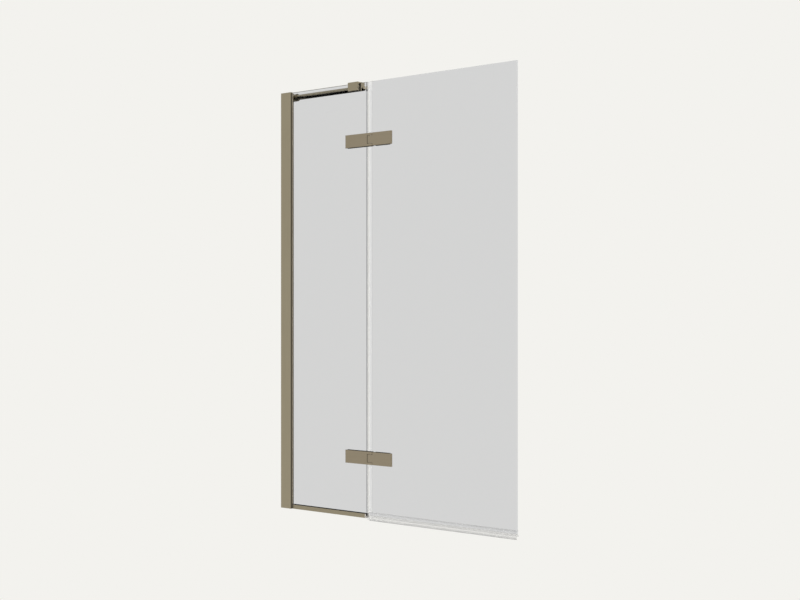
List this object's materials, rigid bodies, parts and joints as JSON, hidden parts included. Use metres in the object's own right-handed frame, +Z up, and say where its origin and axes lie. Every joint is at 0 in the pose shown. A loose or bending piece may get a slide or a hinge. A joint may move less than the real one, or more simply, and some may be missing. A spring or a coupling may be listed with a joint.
{
  "type": "bath screen",
  "caption": "Hinged glass bath screen: a fixed panel in a bronze wall profile and rail, braced by a round bar, carries a wider door on pin hinges that swings both ways.",
  "frame": {"origin": "on the wall plane, in the middle of the glass thickness, at the level of the bath rim", "axes": "+X from the wall along the screen, +Y square to the glass towards the bath, +Z up"},
  "size_m": [1, 0.0595, 1.5124],
  "materials": {
    "bronze_aluminium": "brushed bronze anodised",
    "bronze_brass": "brushed bronze plated",
    "bronze_steel": "brushed bronze plated",
    "bronze_plastic": "bronze coloured, satin",
    "plain_aluminium": "mill",
    "steel": "satin",
    "clear_glass": "clear, polished edges",
    "clear_vinyl": "clear, soft",
    "black_rubber": "matt",
    "grey_rubber": "matt",
    "grey_plastic": "satin",
    "nylon": "matt"
  },
  "bodies": {
    "frame": {"wall_channel": "plain_aluminium", "wall_profile": "bronze_aluminium", "profile_top_cap": "bronze_plastic", "front_glazing_gasket": "grey_rubber", "rear_glazing_gasket": "grey_rubber", "profile_lock_screws": "steel", "screw_cover_caps": "bronze_plastic", "bottom_rail": "bronze_aluminium", "front_rail_gasket": "black_rubber", "rear_rail_gasket": "black_rubber", "rail_end_plug": "grey_plastic", "glass_setting_blocks": "nylon", "fixed_glass": "clear_glass", "fixed_glass_sleeves": "nylon", "bar_wall_flange": "bronze_brass", "bar_socket": "bronze_brass", "socket_grub_screws": "steel", "support_bar": "bronze_steel", "bar_end_cap": "bronze_plastic", "clamp_body": "bronze_brass", "clamp_liner": "black_rubber", "clamp_grub_screws": "steel", "bar_fixing_screw": "steel", "upper_fixed_leaf": "bronze_brass", "upper_fixed_back_plate": "bronze_brass", "upper_fixed_gaskets": "black_rubber", "upper_fixed_screws": "steel", "upper_hinge_pin": "steel", "lower_fixed_leaf": "bronze_brass", "lower_fixed_back_plate": "bronze_brass", "lower_fixed_gaskets": "black_rubber", "lower_fixed_screws": "steel", "lower_hinge_pin": "steel"},
    "door": {"door_glass": "clear_glass", "door_glass_sleeves": "nylon", "upper_edge_seal": "clear_vinyl", "middle_edge_seal": "clear_vinyl", "lower_edge_seal": "clear_vinyl", "bottom_seal": "clear_vinyl", "upper_door_leaf": "bronze_brass", "upper_door_back_plate": "bronze_brass", "upper_door_gaskets": "black_rubber", "upper_door_screws": "steel", "upper_hinge_bushes": "nylon", "lower_door_leaf": "bronze_brass", "lower_door_back_plate": "bronze_brass", "lower_door_gaskets": "black_rubber", "lower_door_screws": "steel", "lower_hinge_bushes": "nylon"}
  },
  "joints": [
    {"name": "door_swing", "type": "hinge", "parent": "frame", "child": "door", "pos_m": [0.411, 0, 0.7536], "axis": [0, 0, 1], "range_deg": [-90, 90]}
  ]
}
